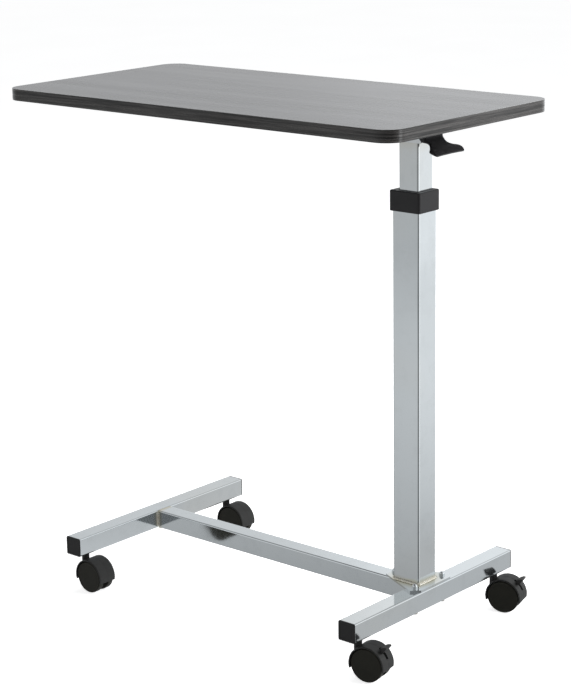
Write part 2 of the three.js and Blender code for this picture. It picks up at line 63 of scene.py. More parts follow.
# camera and floor, in the frame of the part: metres and degrees, the lens in millimetres
CAMERA_AZIMUTH = 41.07
CAMERA_ELEVATION = 14.89
CAMERA_ROLL = 0.97
CAMERA_DISTANCE = 3.1697
CAMERA_TARGET = (0.0235, 0.0, 0.4078)
CAMERA_LENS = 105.8
SENSOR_WIDTH = 36
FLOOR_RADIUS = 30.0


# ---- node materials

class Tree:
    """The node tree of a material or a world, with short calls to add and join nodes."""

    def __init__(self, name, owners=bpy.data.materials):
        self.material = owners.new(name)
        self.material.use_nodes = True
        self.nodes = self.material.node_tree.nodes
        self.links = self.material.node_tree.links
        self.surface = self.nodes.get("Principled BSDF")

    def add(self, kind, inputs=None, **settings):
        node = self.nodes.new(kind)
        for key, value in settings.items():
            setattr(node, key, value)
        for key, value in (inputs or {}).items():
            self.feed(node, key, value)
        return node

    def feed(self, node, key, value):
        if isinstance(value, bpy.types.NodeSocket):
            self.links.new(value, node.inputs[key])
        else:
            node.inputs[key].default_value = value

    def set(self, **inputs):
        for key, value in inputs.items():
            self.feed(self.surface, key.replace("_", " "), value)

    def coordinates(self):
        return self.add("ShaderNodeTexCoord").outputs["Object"]

    def position(self, scale=(1, 1, 1)):
        inputs = {"Vector": self.coordinates(), "Scale": scale}
        return self.add("ShaderNodeMapping", inputs).outputs["Vector"]

    def noise(self, vector, scale, detail=3.0, roughness=0.5, distortion=0.0):
        inputs = {"Vector": vector, "Scale": scale, "Detail": detail, "Roughness": roughness,
                  "Distortion": distortion}
        return self.add("ShaderNodeTexNoise", inputs).outputs["Fac"]

    def remap(self, value, from_min, from_max, to_min, to_max):
        inputs = {"Value": value, "From Min": from_min, "From Max": from_max, "To Min": to_min,
                  "To Max": to_max}
        return self.add("ShaderNodeMapRange", inputs).outputs["Result"]

    def split(self, vector):
        return self.add("ShaderNodeSeparateXYZ", {"Vector": vector}).outputs

    def ramp(self, value, stops):
        """A colour ramp through (place, colour) stops."""
        node = self.add("ShaderNodeValToRGB", {"Fac": value})
        elements = node.color_ramp.elements
        while len(elements) > 1:
            elements.remove(elements[-1])
        for index, (at, colour) in enumerate(stops):
            element = elements.new(at) if index else elements[0]
            element.position = at
            element.color = (*colour, 1.0)
        return node.outputs["Color"]

    def grey_ramp(self, value, levels):
        return self.ramp(value, [(at, (level, level, level)) for at, level in levels])

    def math(self, operation, a, b=0.0):
        return self.add("ShaderNodeMath", {0: a, 1: b}, operation=operation).outputs[0]

    def blend(self, factor, first, second):
        """A colour between first and second; either one is a colour or a node's output."""
        node = self.add("ShaderNodeMix", {0: factor}, data_type="RGBA")
        for index, value in ((6, first), (7, second)):
            self.feed(node, index, (*value, 1.0) if isinstance(value, tuple) else value)
        return node.outputs[2]

    def bump(self, height, distance, strength=1.0, normal=None):
        node = self.add("ShaderNodeBump", {"Height": height, "Distance": distance, "Strength": strength})
        if normal is not None:
            self.feed(node, "Normal", normal)
        return node.outputs["Normal"]

    def mix_shaders(self, factor, first, second):
        inputs = {0: factor, 1: first.outputs[0], 2: second.outputs[0]}
        return self.add("ShaderNodeMixShader", inputs)

    def worn_and_lit_edges(self, radius):
        """1 on outer edges, where rubbed wear and a painted highlight lighten them; 0 on flat faces."""
        rounded = self.add("ShaderNodeBevel", {"Radius": radius}, samples=4).outputs["Normal"]
        plain = self.add("ShaderNodeNewGeometry").outputs["Normal"]
        both = {0: rounded, 1: plain}
        dot = self.add("ShaderNodeVectorMath", both, operation="DOT_PRODUCT").outputs["Value"]
        return self.remap(dot, 0.98, 0.8, 0.0, 1.0)


def chrome(name, warm_reflection_axis=None, warm_reflection_spots=(), warm_reflection_centre=None):
    """Bright plate, faintly wavy and smeared.

    Near the welds it carries a painted warm reflection: bands at given spots along one axis, or all round
    a centre.
    """
    tree = Tree(name)
    here = tree.position()
    wave = tree.noise(here, 9.0, 2.0)
    ripple = tree.noise(here, 55.0, 2.0)
    smear = tree.noise(tree.position((18, 18, 3)), 1.0, 4.0, 0.6, 0.6)
    grain = tree.noise(here, 900.0, 2.0)
    haze = tree.math("ADD", tree.remap(smear, 0.35, 0.7, 0.05, 0.13), tree.math("MULTIPLY", grain, 0.02))
    warm = tree.remap(tree.noise(here, 3.2, 2.0, 0.5, 0.4), 0.5, 0.72, 0.0, 0.6)
    colour = tree.blend(warm, (0.79, 0.83, 0.85), (0.80, 0.79, 0.755))
    stain = tree.remap(tree.noise(here, 38.0, 4.0, 0.6), 0.5, 0.75, 0.0, 0.22)
    colour = tree.blend(stain, colour, (0.62, 0.65, 0.66))
    if warm_reflection_axis:
        along = tree.split(tree.coordinates())[warm_reflection_axis]
        broken = tree.noise(here, 60.0, 3.0)
        for spot, reach, strength in warm_reflection_spots:
            away = tree.math("ABSOLUTE", tree.math("SUBTRACT", along, spot))
            soft = tree.math("ADD", away, tree.math("MULTIPLY", broken, reach * 0.5))
            # painted warm reflection: an olive-gold band round each spot
            painted_reflection = tree.remap(soft, reach * 0.3, reach * 1.25, strength, 0.0)
            colour = tree.blend(painted_reflection, colour, (0.62, 0.54, 0.34))
    if warm_reflection_centre is not None:
        ends = {0: tree.coordinates(), 1: warm_reflection_centre}
        away = tree.add("ShaderNodeVectorMath", ends, operation="DISTANCE").outputs["Value"]
        # painted warm reflection all round a centre
        colour = tree.blend(tree.remap(away, 24 * MM, 46 * MM, 0.85, 0.0), colour, (0.58, 0.55, 0.42))
    tree.set(Base_Color=colour, Metallic=1.0, Roughness=haze)
    coarse = tree.bump(wave, 0.35 * MM, 0.5)
    tree.set(Normal=tree.bump(ripple, 0.02 * MM, 0.5, coarse))
    return tree.material


def brushed(name, colour, rough):
    """Plated or drawn steel with a fine directional grain."""
    tree = Tree(name)
    streak = tree.noise(tree.position((60, 60, 900)), 1.0, 3.0)
    blotch = tree.noise(tree.position(), 70.0, 3.0)
    tint = tree.blend(tree.remap(blotch, 0.4, 0.65, 0.0, 0.45), colour, tuple(0.72 * c for c in colour))
    roughness = tree.remap(streak, 0.3, 0.7, rough - 0.07, rough + 0.09)
    tree.set(Base_Color=tint, Metallic=1.0, Roughness=roughness)
    tree.set(Normal=tree.bump(streak, 0.02 * MM, 0.5))
    return tree.material


def painted(name, colour):
    """Black powder coat with a light orange-peel."""
    tree = Tree(name)
    peel = tree.noise(tree.position(), 900.0, 3.0)
    dust = tree.remap(tree.noise(tree.position(), 25.0, 4.0), 0.45, 0.75, 0.0, 0.35)
    tree.set(Base_Color=tree.blend(dust, colour, tuple(c + 0.03 for c in colour)))
    tree.set(Roughness=tree.remap(peel, 0.3, 0.7, 0.38, 0.52), Normal=tree.bump(peel, 0.05 * MM, 0.5))
    return tree.material


def plastic(name, colour, rough, texture=0.06, edge_lightening=0.02, sheen=0.35):
    """Moulded plastic: fine spark-eroded texture, uneven sheen, edges a little lighter from rubbed wear
    and a painted highlight.
    """
    tree = Tree(name)
    here = tree.position()
    pit = tree.noise(here, 2600.0, 2.0)
    cloud = tree.noise(here, 45.0, 4.0, 0.6)
    lighter = tuple(c * 1.22 + 0.002 for c in colour)
    tint = tree.blend(tree.remap(cloud, 0.35, 0.7, 0.0, 1.0), colour, lighter)
    tree.set(Specular_IOR_Level=sheen)
    wear_and_highlight = tree.math("MULTIPLY", tree.worn_and_lit_edges(0.6 * MM), tree.remap(cloud, 0.3, 0.6, 0.3, 1.0))
    # lighter edges: partly rubbed wear, partly painted highlight
    tree.set(Base_Color=tree.blend(wear_and_highlight, tint, tuple(c + edge_lightening for c in colour)))
    tree.set(Roughness=tree.remap(cloud, 0.3, 0.7, rough - 0.05, rough + 0.08))
    tree.set(Normal=tree.bump(pit, texture * MM, 0.6))
    return tree.material


def laminate():
    """Dark wood-grain laminate on the tabletop's face: faint grain along X, fine pores, satin sheen."""
    tree = Tree("laminate_face")
    broad = tree.noise(tree.position((1.6, 34, 34)), 1.0, 3.0, 0.5, 0.15)
    fine = tree.noise(tree.position((7, 520, 520)), 1.0, 3.0, 0.65)
    pore = tree.noise(tree.position((40, 2200, 2200)), 1.0, 2.0)
    grain = tree.math("ADD", tree.math("MULTIPLY", broad, 0.55), tree.math("MULTIPLY", fine, 0.45))
    tint = tree.ramp(grain, ((0.36, (0.074, 0.071, 0.074)), (0.64, (0.100, 0.097, 0.101))))
    handled = tree.noise(tree.position(), 3.0, 2.0, 0.5)
    rubbed = tree.remap(handled, 0.2, 0.8, 0.0, 0.02)
    rough = tree.math("ADD", tree.remap(grain, 0.4, 0.6, 0.265, 0.245), rubbed)
    tree.set(Base_Color=tint, Roughness=rough, IOR=1.55)
    tree.set(Normal=tree.bump(pore, 0.004 * MM, 0.15))
    return tree.material


def edge_grain():
    """The edge band: darker, with crisp streaks that run round the rim."""
    tree = Tree("edge_grain")
    streak = tree.noise(tree.position((5, 5, 330)), 1.0, 4.0, 0.6, 0.2)
    hair = tree.noise(tree.position((30, 30, 2200)), 1.0, 2.0)
    patch = tree.noise(tree.position((9, 9, 90)), 1.0, 3.0)
    mixed = tree.math("ADD", tree.math("MULTIPLY", streak, 0.7), tree.math("MULTIPLY", hair, 0.3))
    tint = tree.ramp(mixed, ((0.42, (0.003, 0.0025, 0.002)), (0.58, (0.034, 0.030, 0.028))))
    reddish = tree.remap(patch, 0.55, 0.75, 0.0, 0.35)
    tree.set(Base_Color=tree.blend(reddish, tint, (0.04, 0.027, 0.024)))
    tree.set(Roughness=tree.remap(mixed, 0.4, 0.6, 0.36, 0.24), Normal=tree.bump(mixed, 0.03 * MM, 0.4))
    tree.set(Coat_Weight=tree.remap(mixed, 0.42, 0.58, 0.4, 1.0), Coat_Roughness=0.12)
    tree.set(Specular_IOR_Level=tree.remap(mixed, 0.42, 0.58, 0.36, 0.5))
    return tree.material


def weld_metal():
    """A plated-over weld: pale straw metal with a few darker gold specks."""
    tree = Tree("weld_metal")
    spots = tree.noise(tree.position(), 260.0, 4.0, 0.65)
    straw = ((0.28, (0.52, 0.46, 0.33)), (0.42, (0.84, 0.80, 0.67)), (0.64, (0.95, 0.93, 0.84)))
    tint = tree.ramp(spots, straw)
    tree.set(Base_Color=tint, Metallic=0.9)
    tree.set(Roughness=tree.remap(spots, 0.3, 0.7, 0.42, 0.2), Normal=tree.bump(spots, 0.1 * MM, 0.6))
    return tree.material


# ---- mesh building

def rounded_outline(half_x, half_y, radius, steps=8):
    """Points round a rectangle with round corners, anticlockwise."""
    radius = max(radius, 0.01 * MM)
    points = []
    for corner, (side_x, side_y) in enumerate(((1, 1), (-1, 1), (-1, -1), (1, -1))):
        for step in range(steps + 1):
            angle = math.radians(90 * (corner + step / steps))
            points.append((
                side_x * (half_x - radius) + radius * math.cos(angle),
                side_y * (half_y - radius) + radius * math.sin(angle),
            ))
    return points


def arc(centre_x, centre_y, radius, start, end, steps):
    """Points on an arc, both ends included, angles in degrees."""
    points = []
    for step in range(steps + 1):
        angle = math.radians(start + (end - start) * step / steps)
        points.append((centre_x + radius * math.cos(angle), centre_y + radius * math.sin(angle)))
    return points


def loft(bm, rings, closed=False):
    """Skins a list of rings with quads; an open loft gets a cap at each end."""
    loops = [[bm.verts.new(point) for point in ring] for ring in rings]
    count = len(loops[0])
    pairs = list(zip(loops, loops[1:]))
    if closed:
        pairs.append((loops[-1], loops[0]))
    for low, high in pairs:
        for index in range(count):
            after = (index + 1) % count
            bm.faces.new((low[index], low[after], high[after], high[index]))
    if not closed:
        bm.faces.new(list(reversed(loops[0])))
        bm.faces.new(loops[-1])


def lathe(bm, profile, sides=64, axis="Z"):
    """Turns a profile of (radius, height) that starts and ends on the axis."""
    def place(radius, height, angle):
        across = radius * math.cos(angle)
        along = radius * math.sin(angle)
        return (across, along, height) if axis == "Z" else (along, height, across)

    first = bm.verts.new(place(0, profile[0][1], 0))
    last = bm.verts.new(place(0, profile[-1][1], 0))
    loops = []
    for radius, height in profile[1:-1]:
        loops.append([bm.verts.new(place(radius, height, math.tau * k / sides)) for k in range(sides)])
    for k in range(sides):
        after = (k + 1) % sides
        bm.faces.new((first, loops[0][after], loops[0][k]))
        bm.faces.new((last, loops[-1][k], loops[-1][after]))
        for low, high in zip(loops, loops[1:]):
            bm.faces.new((low[k], low[after], high[after], high[k]))


def prism(bm, outline, low, high, axis="Z"):
    """A flat outline given thickness. On axis Y the outline is in X and Z."""
    def place(point, height):
        return (point[0], point[1], height) if axis == "Z" else (point[0], height, point[1])

    loft(bm, [[place(point, low) for point in outline], [place(point, high) for point in outline]])


def link_mesh(name, bm):
    """Puts the mesh that bm holds into the scene as an object."""
    mesh = bpy.data.meshes.new(name)
    bm.to_mesh(mesh)
    bm.free()
    obj = bpy.data.objects.new(name, mesh)
    bpy.context.scene.collection.objects.link(obj)
    return obj


def make_object(name, bm, sharp=None):
    """An object with smooth faces; edges past the sharp angle stay crisp."""
    bmesh.ops.recalc_face_normals(bm, faces=bm.faces)
    for face in bm.faces:
        face.smooth = True
    if sharp:
        for edge in bm.edges:
            edge.smooth = edge.calc_face_angle(0.0) < math.radians(sharp)
    obj = link_mesh(name, bm)
    finish_shape(obj)
    return obj


def lofted(name, rings, sharp=None, closed=False):
    bm = bmesh.new()
    loft(bm, rings, closed)
    return make_object(name, bm, sharp)


def finish_shape(obj, bevel=0.0, bevel_angle=40):
    """Rounds hard edges and keeps flat faces looking flat."""
    if bevel:
        edge = obj.modifiers.new("edges", "BEVEL")
        edge.width = bevel
        edge.segments = 2
        edge.limit_method = "ANGLE"
        edge.angle_limit = math.radians(bevel_angle)
        edge.use_clamp_overlap = True
    normals = obj.modifiers.new("normals", "WEIGHTED_NORMAL")
    normals.keep_sharp = True
    normals.weight = 60


def finish_smooth(obj, bevel, bevel_angle):
    """The same, with smooth faces first: for boolean work and for CAD nodes."""
    for face in obj.data.polygons:
        face.use_smooth = True
    finish_shape(obj, bevel, bevel_angle)


def apply_modifiers(obj):
    graph = bpy.context.evaluated_depsgraph_get()
    mesh = bpy.data.meshes.new_from_object(obj.evaluated_get(graph))
    obj.modifiers.clear()
    obj.data = mesh


def boolean(obj, other, operation):
    """Joins or cuts with another object, which is used up."""
    step = obj.modifiers.new("boolean", "BOOLEAN")
    step.object = other
    step.operation = operation
    step.solver = "EXACT"
    apply_modifiers(obj)
    bpy.data.objects.remove(other)


def raw_object(bm):
    """A plain object for boolean work."""
    bmesh.ops.recalc_face_normals(bm, faces=bm.faces)
    return link_mesh("work", bm)


def work_prism(outline, half):
    """A plain plate for boolean work, in millimetres: an outline in X and Z, with half its thickness."""
    bm = bmesh.new()
    prism(bm, [(x * MM, z * MM) for x, z in outline], -half * MM, half * MM, "Y")
    return raw_object(bm)


def work_rod(radius, low, high, sides):
    """A plain cylinder along Y for boolean work."""
    bm = bmesh.new()
    lathe(bm, [(0, low), (radius, low), (radius, high), (0, high)], sides, "Y")
    return raw_object(bm)


def copy_object(source, name, matrix):
    """Another object with the same mesh and modifiers, placed by a matrix."""
    obj = source.copy()
    obj.name = name
    obj.matrix_world = matrix
    bpy.context.scene.collection.objects.link(obj)
    return obj


def settle(obj, body, slot, material, *nodes):
    """Gives a piece its material, its body and the CAD nodes it stands for, which it hides. The slot
    argument is not used.
    """
    obj.data.materials.clear()
    obj.data.materials.append(material)
    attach(obj, body)
    if nodes:
        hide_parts(*nodes)


def dress(node, material, bevel):
    """Keeps a CAD node's shape, with its edges rounded and a new material."""
    obj = frame["nodes"][node]
    obj.data.materials.clear()
    obj.data.materials.append(material)
    weld = obj.modifiers.new("weld", "WELD")
    weld.merge_threshold = 0.01 * MM
    finish_smooth(obj, bevel, 35)


# ---- box sections

def section_rings(node, axis, corner, profile):
    """Rings round a CAD node's box.

    A profile point is (outward offset, place along the axis from the box's middle).
    """
    low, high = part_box(node)
    middle = (low + high) / 2
    half = (high - low) / 2
    across, up, along = {"X": (1, 2, 0), "Y": (0, 2, 1), "Z": (0, 1, 2)}[axis]
    rings = []
    for offset, height in profile:
        ring = []
        for u, v in rounded_outline(half[across] + offset, half[up] + offset, corner + offset):
            point = Vector(middle)
            point[across] += u
            point[up] += v
            point[along] += height
            ring.append(point)
        rings.append(ring)
    return rings


def tube_mesh(node, axis, corner):
    """A square tube with rolled corners and lightly broken ends."""
    low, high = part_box(node)
    length = (high - low)["XYZ".index(axis)] / 2
    arris = 0.3 * MM
    profile = [
        (0, -length + arris), (0, length - arris), (-arris, length), (-TUBE_WALL + arris, length),
        (-TUBE_WALL, length - arris), (-TUBE_WALL, -length + arris), (-TUBE_WALL + arris, -length),
        (-arris, -length),
    ]
    return lofted(f"{node}_shell", section_rings(node, axis, corner, profile), closed=True)


def box_tube(node, axis, corner, material):
    settle(tube_mesh(node, axis, corner), "base", "chrome", material, node)


def inner_tube(material):
    """The sliding tube, notched at its top on +X so that the lever's arm reaches the release pin."""
    tube = tube_mesh("inner_tube", "Z", COLUMN_CORNER)
    low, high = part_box("inner_tube")
    middle_y = (low.y + high.y) / 2
    half = 7 * MM
    reach = 3 * MM
    depth = 18.5 * MM
    outline = [
        (high.x - reach, middle_y - half), (high.x + reach, middle_y - half),
        (high.x + reach, middle_y + half), (high.x - reach, middle_y + half),
    ]
    bm = bmesh.new()
    prism(bm, outline, high.z - depth, high.z + 1 * MM)
    boolean(tube, raw_object(bm), "DIFFERENCE")
    finish_smooth(tube, 0.25 * MM, 50)
    settle(tube, "lift", "chrome", material, "inner_tube")


# ---- base

def end_cap(side, end, material):
    """A plug's flange: domed edge, a raised rim and a slightly sunk face."""
    node = f"end_cap_{side}_{end}"
    low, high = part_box(node)
    sign = -1 if end == "front" else 1
    outer = low.y if end == "front" else high.y
    flange = 2.0 * MM
    depth = 14 * MM
    wall = 2.6 * MM
    middle = (low + high) / 2
    half = (high.x - low.x) / 2
    profile = [
        (-4.2 * MM, -depth), (-1.8 * MM, -depth), (-1.8 * MM, 0), (-0.1 * MM, 0.05 * MM), (0, 0.2 * MM),
        (0, flange - 0.7 * MM), (-0.2 * MM, flange - 0.2 * MM), (-0.7 * MM, flange), (-wall, flange),
        (-wall - 0.3 * MM, flange - 0.1 * MM), (-wall - 0.8 * MM, flange - 0.6 * MM),
    ]
    rings = []
    for offset, height in profile:
        outline = rounded_outline(half + offset, half + offset, max(BASE_CORNER + offset, 0.8 * MM), 6)
        rings.append([(middle.x + u, outer - sign * (flange - height), middle.z + v) for u, v in outline])
    settle(lofted(f"{node}_moulding", rings, 50), "base", "black_plastic", material, node)


def hex_ring(radius_flat, limit, height):
    """A hexagon's outline trimmed by a circle, which gives the chamfered corners of a nut."""
    points = 48
    ring = []
    for k in range(points):
        angle = math.tau * k / points
        from_flat = (angle + math.pi / 6) % (math.pi / 3) - math.pi / 6
        radius = min(radius_flat / math.cos(from_flat), limit)
        ring.append((radius * math.cos(angle), radius * math.sin(angle), height))
    return ring


def forged(node, levels, material, slot):
    """A fastener from rows of (flat radius, corner limit, height above its lowest point)."""
    low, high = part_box(node)
    middle = (low + high) / 2
    rings = []
    for flat, limit, height in levels:
        ring = hex_ring(flat, limit, height)
        rings.append([(x + middle.x, y + middle.y, low.z + z) for x, y, z in ring])
    settle(lofted(f"{node}_forging", rings, 35), "base", slot, material, node)


def cap_nut(index, material):
    """Low cap nut: chamfered hexagon with a domed end."""
    node = f"cap_nut_{index}"
    low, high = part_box(node)
    flat = (high.x - low.x) / 2 * 0.99
    corner = flat / math.cos(math.pi / 6)
    hexagon = 3.0 * MM
    dome = 3.75 * MM
    rise = high.z - low.z - hexagon
    levels = [
        (flat, corner - 0.3 * MM, 0), (flat, corner, 0.35 * MM), (flat, corner, hexagon - 0.5 * MM),
        (flat, flat, hexagon),
    ]
    for step in range(8):
        angle = math.radians(86 * step / 7)
        radius = dome * math.cos(angle)
        levels.append((radius, radius, hexagon + rise * math.sin(angle)))
    forged(node, levels, material, "chrome")


def base_bolt(index, material):
    """Flange bolt: hexagon head below the tube, plain shank up to the nut."""
    node = f"base_bolt_{index}"
    low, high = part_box(node)
    flange_r = (high.x - low.x) / 2
    corner = 4.55 * MM
    flat = corner * math.cos(math.pi / 6)
    head = 8 * MM
    shank = 2.5 * MM
    levels = [
        (flat, flat, 0), (flat, corner, 0.6 * MM), (flat, corner, head - 2.3 * MM),
        (flange_r, flange_r - 0.6 * MM, head - 1.5 * MM), (flange_r, flange_r, head - 1.0 * MM),
        (flange_r, flange_r, head), (shank, shank, head), (shank, shank, high.z - low.z),
    ]
    forged(node, levels, material, "zinc_steel")


def weld_fillet(name, path, closed, leg, material):
    """A rippled fillet. Each path entry is (corner point, direction along one face, along the other)."""
    rng = random.Random(name)
    arc_steps = 7
    count = len(path)
    rings = []
    for index, (corner, one, other) in enumerate(path):
        size = leg * (1 + 0.07 * math.sin(index * 1.9) + rng.uniform(-0.05, 0.05))
        if not closed:
            size *= min(1.0, 0.4 + 0.6 * min(index, count - 1 - index) / 3)
        sunk = -0.25 * MM
        ring = [corner + (one + other) * sunk]
        for step in range(arc_steps + 1):
            angle = math.radians(90 * step / arc_steps)
            reach = size * (0.4 + 0.6 / (math.cos(angle) + math.sin(angle)))
            ring.append(corner + one * reach * math.cos(angle) + other * reach * math.sin(angle))
        ring.insert(1, ring[1] + other * sunk)
        ring.append(ring[-1] + one * sunk)
        rings.append(ring)
    settle(lofted(name, rings, 70, closed), "base", "chrome", material)


def path_between(start, end):
    """Points from start to end, about one weld ripple apart."""
    spacing = 1.1 * MM
    steps = max(2, round((end - start).length / spacing))
    return [start.lerp(end, step / steps) for step in range(steps + 1)]


def column_weld(material):
    """The fillet round the column's foot, on top of the base plate."""
    low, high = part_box("outer_tube")
    middle = (low + high) / 2
    half = (high - low) / 2
    corner = COLUMN_CORNER
    up = Vector((0, 0, 1))
    path = []
    loop = [Vector((x, y, 0)) for x, y in rounded_outline(half.x, half.y, corner, 6)]
    for index, point in enumerate(loop):
        for spot in path_between(point, loop[(index + 1) % len(loop)])[:-1]:
            centre_x = math.copysign(half.x - corner, spot.x)
            centre_y = math.copysign(half.y - corner, spot.y)
            centre = Vector((centre_x, centre_y, 0))
            out = spot - centre
            if abs(spot.x) < half.x - corner:
                out.x = 0
            if abs(spot.y) < half.y - corner:
                out.y = 0
            path.append((Vector((spot.x + middle.x, spot.y + middle.y, low.z)), out.normalized(), up))
    weld_fillet("weld_column_foot", path, True, 3.0 * MM, material)


def junction_welds(material):
    """Fillets down both sides and under the cross tube where it meets each foot."""
    low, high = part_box("cross_tube")
    inset = 2.0 * MM
    for side, x, along in (("left", low.x, Vector((1, 0, 0))), ("right", high.x, Vector((-1, 0, 0)))):
        for end, y, out in (("front", low.y, Vector((0, -1, 0))), ("back", high.y, Vector((0, 1, 0)))):
            spots = path_between(Vector((x, y, low.z + inset)), Vector((x, y, high.z - inset)))
            path = [(spot, along, out) for spot in spots]
            weld_fillet(f"weld_{side}_{end}", path, False, 3.4 * MM, material)
        spots = path_between(Vector((x, low.y + inset, low.z)), Vector((x, high.y - inset, low.z)))
        path = [(spot, along, Vector((0, 0, -1))) for spot in spots]
        weld_fillet(f"weld_{side}_under", path, False, 3.0 * MM, material)


# ---- column and collar

def collar(material):
    """Skirt over the outer tube, top lip and inner sleeve, lofted as one closed section."""
    low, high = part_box("collar")
    tube_low, tube_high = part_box("outer_tube")
    inner_low, inner_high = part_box("inner_tube")
    middle = (low + high) / 2
    half_x = (high.x - low.x) / 2
    half_y = (high.y - low.y) / 2
    skirt_height = 30 * MM
    skirt = high.z - skirt_height
    tube_x = (tube_high.x - tube_low.x) / 2 + 0.15 * MM
    tube_y = (tube_high.y - tube_low.y) / 2 + 0.15 * MM
    inside = 1.8 * MM
    bore = (inner_high.x - inner_low.x) / 2 + 0.25 * MM
    shift = (inner_low.x + inner_high.x) / 2 - middle.x
    rows = [
        (half_x - 0.5 * MM, half_y - 0.5 * MM, 3.2, skirt, 0), (half_x, half_y, 3.6, skirt + 0.5 * MM, 0),
        (half_x, half_y, 3.6, high.z - 1.4 * MM, 0),
        (half_x - 0.4 * MM, half_y - 0.4 * MM, 3.4, high.z - 0.45 * MM, 0),
        (half_x - 1.4 * MM, half_y - 1.4 * MM, 2.9, high.z, 0),
        (bore + 1.0 * MM, bore + 1.0 * MM, 3.4, high.z, shift),
        (bore + 0.3 * MM, bore + 0.3 * MM, 3.2, high.z - 0.3 * MM, shift),
        (bore, bore, 3, high.z - 1.0 * MM, shift),
        (bore, bore, 3, low.z, shift), (tube_x - inside, tube_y - inside, 2, low.z, 0),
        (tube_x - inside, tube_y - inside, 2, tube_high.z + 0.3 * MM, 0),
        (tube_x, tube_y, 3, tube_high.z + 0.3 * MM, 0),
        (tube_x, tube_y, 3, skirt + 0.3 * MM, 0), (tube_x + 0.4 * MM, tube_y + 0.4 * MM, 3.4, skirt, 0),
    ]
    rings = []
    for x, y, corner, height, aside in rows:
        outline = rounded_outline(x, y, corner * MM, 10)
        rings.append([(middle.x + aside + u, middle.y + v, height) for u, v in outline])
    settle(lofted("collar_moulding", rings, 60, True), "base", "black_plastic", material, "collar")


# ---- tabletop

def tabletop(face_material, edge_material):
    """The board and the thin band round its edge, each drawn as rings up its section."""
    low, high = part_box("edge_band")
    half = (high - low) / 2
    thick = 1.5 * MM
    corner = 30 * MM
    inset = thick + BOARD_GAP
    arris = 0.25 * MM
    fillet = 0.45 * MM

    def rings(section):
        result = []
        for offset, height in section:
            outline = rounded_outline(half.x + offset, half.y + offset, corner + offset, 24)
            result.append([(x, y, height) for x, y in outline])
        return result

    board = [
        (-inset - arris, low.z), (-inset, low.z + arris), (-inset, high.z - arris * 0.6),
        (-inset - arris * 0.6, high.z),
    ]
    band = [
        (-fillet, low.z), (-fillet * 0.3, low.z + fillet * 0.3), (0, low.z + fillet),
        (0, high.z - fillet), (-fillet * 0.3, high.z - fillet * 0.3), (-fillet, high.z),
        (-thick, high.z), (-thick, low.z),
    ]
    panel = lofted("tabletop_panel", rings(board))
    settle(panel, "lift", "laminate", face_material, "tabletop_board")
    edging = lofted("tabletop_edging", rings(band), 50, True)
    settle(edging, "lift", "edging", edge_material, "edge_band")


def top_screw(side, end, source, material):
    node = f"top_screw_{side}_{end}"
    low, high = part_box(node)
    middle = (low + high) / 2
    obj = copy_object(source, f"{node}_head", Matrix.Translation((middle.x, middle.y, low.z)))
    settle(obj, "lift", "zinc_steel", material, node)


def screw_mesh():
    """Pan head with a cross recess and a threaded shank, drawn from the head's underside upwards."""
    bm = bmesh.new()
    profile = [
        (0, 0), (1.6, 0.05), (2.9, 0.35), (3.7, 1.0), (4.0, 1.8), (4.0, 2.5), (3.9, 2.6), (2.0, 2.6),
    ]
    for turn in range(10):
        height = 3.2 + turn * 1.15
        profile += [(1.55, height), (2.0, height + 0.45), (1.55, height + 0.9)]
    profile += [(1.2, 16.2), (0, 18.0)]
    lathe(bm, [(r * MM, h * MM) for r, h in profile], 24)
    head = raw_object(bm)
    for turned in (0, math.pi / 2):
        bm = bmesh.new()
        prism(bm, rounded_outline(2.4 * MM, 0.42 * MM, 0.1 * MM, 1), -1 * MM, 1.3 * MM)
        bmesh.ops.rotate(bm, verts=bm.verts, matrix=Matrix.Rotation(turned, 3, "Z"))
        boolean(head, raw_object(bm), "DIFFERENCE")
    for face in head.data.polygons:
        face.use_smooth = True
    head.data.set_sharp_from_angle(angle=math.radians(35))
    finish_shape(head)
    return head


# ---- release lever

def smooth_curve(knots, count):
    """Points on a Catmull-Rom curve through the knots."""
    padded = [knots[0] * 2 - knots[1]] + list(knots) + [knots[-1] * 2 - knots[-2]]
    result = []
    for step in range(count):
        at = step / (count - 1) * (len(knots) - 1)
        index = min(int(at), len(knots) - 2)
        t = at - index
        a, b, c, d = padded[index:index + 4]
        point = 0.5 * ((2 * b) + (c - a) * t + (2 * a - 5 * b + 4 * c - d) * t * t
                       + (3 * b - a - 3 * c + d) * t * t * t)
        result.append(point)
    return result


def smoothstep(low, high, value):
    t = min(1.0, max(0.0, (value - low) / (high - low)))
    return t * t * (3 - 2 * t)


def lever_paddle():
    """The neck and thumb plate: a curved sheet between an under line and an upper line.

    Millimetres, in X and Z about the pivot.
    """
    count = 44
    tip = 42.6
    corner = 9
    nose = 2.5
    under = [
        (5.7, 3.3), (5.7, -4.0), (6.2, -12.2), (14.5, -14.9), (21.2, -19.3), (28.0, -23.0),
        (34.5, -25.7), (40.4, -27.9),
    ]
    over = [
        (9.8, 3.3), (10.6, -3.0), (13.6, -9.2), (18.6, -13.2), (24.2, -16.6), (31.0, -19.1),
        (36.8, -21.4), (42.0, -25.6),
    ]
    lower = smooth_curve([Vector(p) for p in under], count)
    upper = smooth_curve([Vector(p) for p in over], count)
    rings = []
    for low, high in zip(lower, upper):
        middle = (low + high) / 2
        out = (high - low).normalized()
        thick = (high - low).length / 2
        x = middle.x
        # half the width: waisted at the neck, wide at the thumb plate
        half = 21.8 - 2.3 * smoothstep(10, 16, x) + 4.5 * smoothstep(18, 24, x)
        half += 10.8 * smoothstep(22, 31, x)
        from_end = tip - x
        if from_end < corner:
            half -= 7.0 * (1 - math.sqrt(max(0.0, 1 - (1 - max(from_end, 0) / corner) ** 2)))
        if from_end < nose:
            thick *= math.sqrt(max(0.12, 1 - (1 - max(from_end, 0) / nose) ** 2))
        crown = 0.9 * smoothstep(14, 26, x)
        ring = []
        for u, v in sheet_section(half, thick):
            offset = v - crown * (u / half) ** 2
            ring.append(((middle.x + out.x * offset) * MM, u * MM, (middle.y + out.y * offset) * MM))
        rings.append(ring)
    return lofted("lever_paddle", rings, 60)


